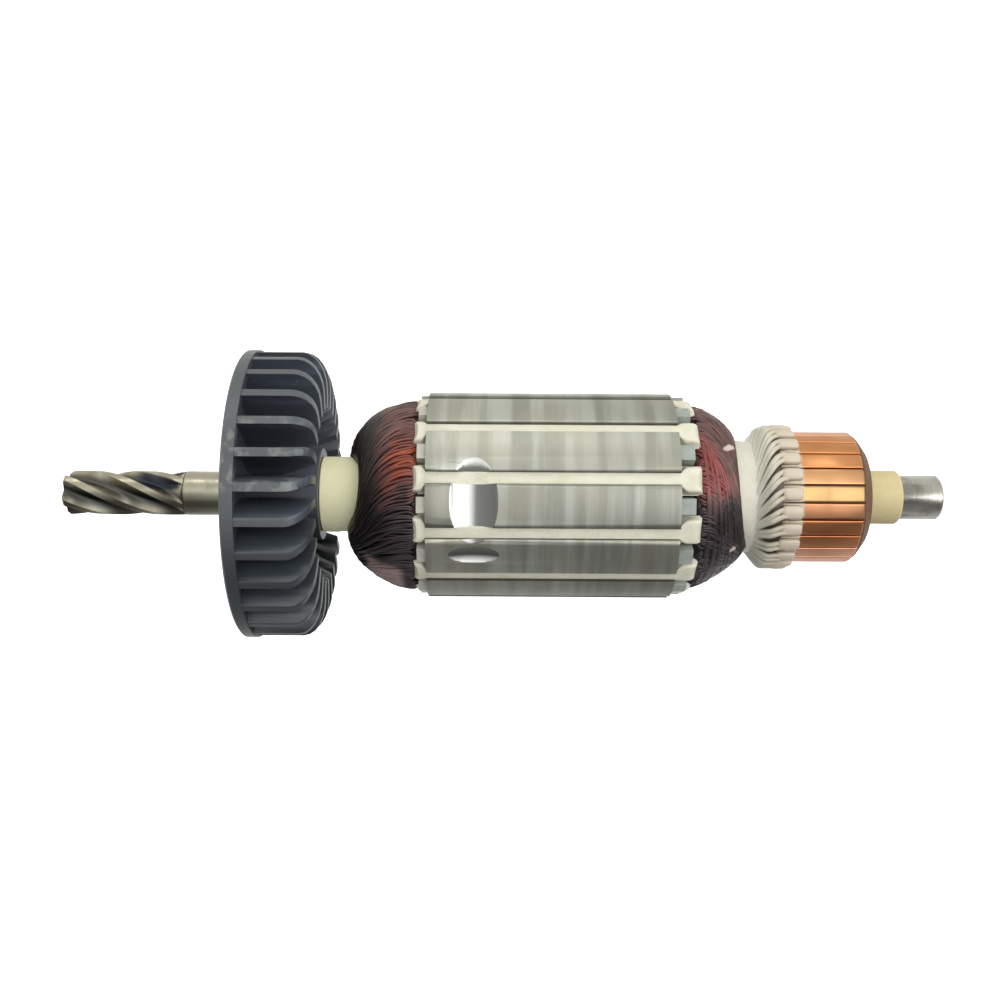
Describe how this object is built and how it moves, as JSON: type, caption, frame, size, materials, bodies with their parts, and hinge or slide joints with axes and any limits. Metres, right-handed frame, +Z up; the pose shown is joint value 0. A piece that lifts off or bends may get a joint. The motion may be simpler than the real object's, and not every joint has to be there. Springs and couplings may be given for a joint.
{
  "type": "motor armature",
  "caption": "Wound armature of a universal motor: steel shaft with a helical pinion, black radial fan, slotted core with copper coils, and a copper commutator.",
  "frame": {"origin": "centre of the drive-end bearing seat, on the shaft's axis", "axes": "+X along the shaft from the pinion to the commutator, +Z up, the pictured side facing -Y"},
  "size_m": [0.1584, 0.052, 0.052],
  "materials": {
    "ground_steel": "turned and ground steel, olive-grey with fine rings, bright on the bearing seats",
    "insulating_sleeve": "cream moulded insulation, matte, slightly mottled",
    "fan_plastic": "black filled plastic, satin, greyed at the edges",
    "lamination_steel": "stacked electrical steel under clear varnish, turned on its outside",
    "fibre_board": "grey-green pressed fibre under varnish",
    "enamelled_wire": "dark red enamelled copper wire, glossy with varnish",
    "white_varnish": "coil ends under off-white varnish",
    "bush_steel": "turned steel",
    "moulding_resin": "dark brown moulding resin, satin",
    "slot_liner": "cream insulating paper",
    "slot_wedge": "off-white fibre strip under varnish",
    "commutator_copper": "turned copper brush track, hooks under white varnish"
  },
  "bodies": {
    "root": {"shaft": "ground_steel", "insulating_sleeve": "insulating_sleeve", "rear_sleeve": "insulating_sleeve", "cooling_fan": "fan_plastic", "core_laminations": "lamination_steel", "drive_end_insulator": "fibre_board", "commutator_end_insulator": "fibre_board", "armature_winding": "enamelled_wire", "coil_leads": "white_varnish", "commutator_bush": "bush_steel", "commutator_hub": "moulding_resin", "slot_liner_01": "slot_liner", "slot_liner_02": "slot_liner", "slot_liner_03": "slot_liner", "slot_liner_04": "slot_liner", "slot_liner_05": "slot_liner", "slot_liner_06": "slot_liner", "slot_liner_07": "slot_liner", "slot_liner_08": "slot_liner", "slot_liner_09": "slot_liner", "slot_liner_10": "slot_liner", "slot_liner_11": "slot_liner", "slot_liner_12": "slot_liner", "slot_wedge_01": "slot_wedge", "slot_wedge_02": "slot_wedge", "slot_wedge_03": "slot_wedge", "slot_wedge_04": "slot_wedge", "slot_wedge_05": "slot_wedge", "slot_wedge_06": "slot_wedge", "slot_wedge_07": "slot_wedge", "slot_wedge_08": "slot_wedge", "slot_wedge_09": "slot_wedge", "slot_wedge_10": "slot_wedge", "slot_wedge_11": "slot_wedge", "slot_wedge_12": "slot_wedge", "commutator_bar_01": "commutator_copper", "commutator_bar_02": "commutator_copper", "commutator_bar_03": "commutator_copper", "commutator_bar_04": "commutator_copper", "commutator_bar_05": "commutator_copper", "commutator_bar_06": "commutator_copper", "commutator_bar_07": "commutator_copper", "commutator_bar_08": "commutator_copper", "commutator_bar_09": "commutator_copper", "commutator_bar_10": "commutator_copper", "commutator_bar_11": "commutator_copper", "commutator_bar_12": "commutator_copper", "commutator_bar_13": "commutator_copper", "commutator_bar_14": "commutator_copper", "commutator_bar_15": "commutator_copper", "commutator_bar_16": "commutator_copper", "commutator_bar_17": "commutator_copper", "commutator_bar_18": "commutator_copper", "commutator_bar_19": "commutator_copper", "commutator_bar_20": "commutator_copper", "commutator_bar_21": "commutator_copper", "commutator_bar_22": "commutator_copper", "commutator_bar_23": "commutator_copper", "commutator_bar_24": "commutator_copper"}
  },
  "joints": []
}
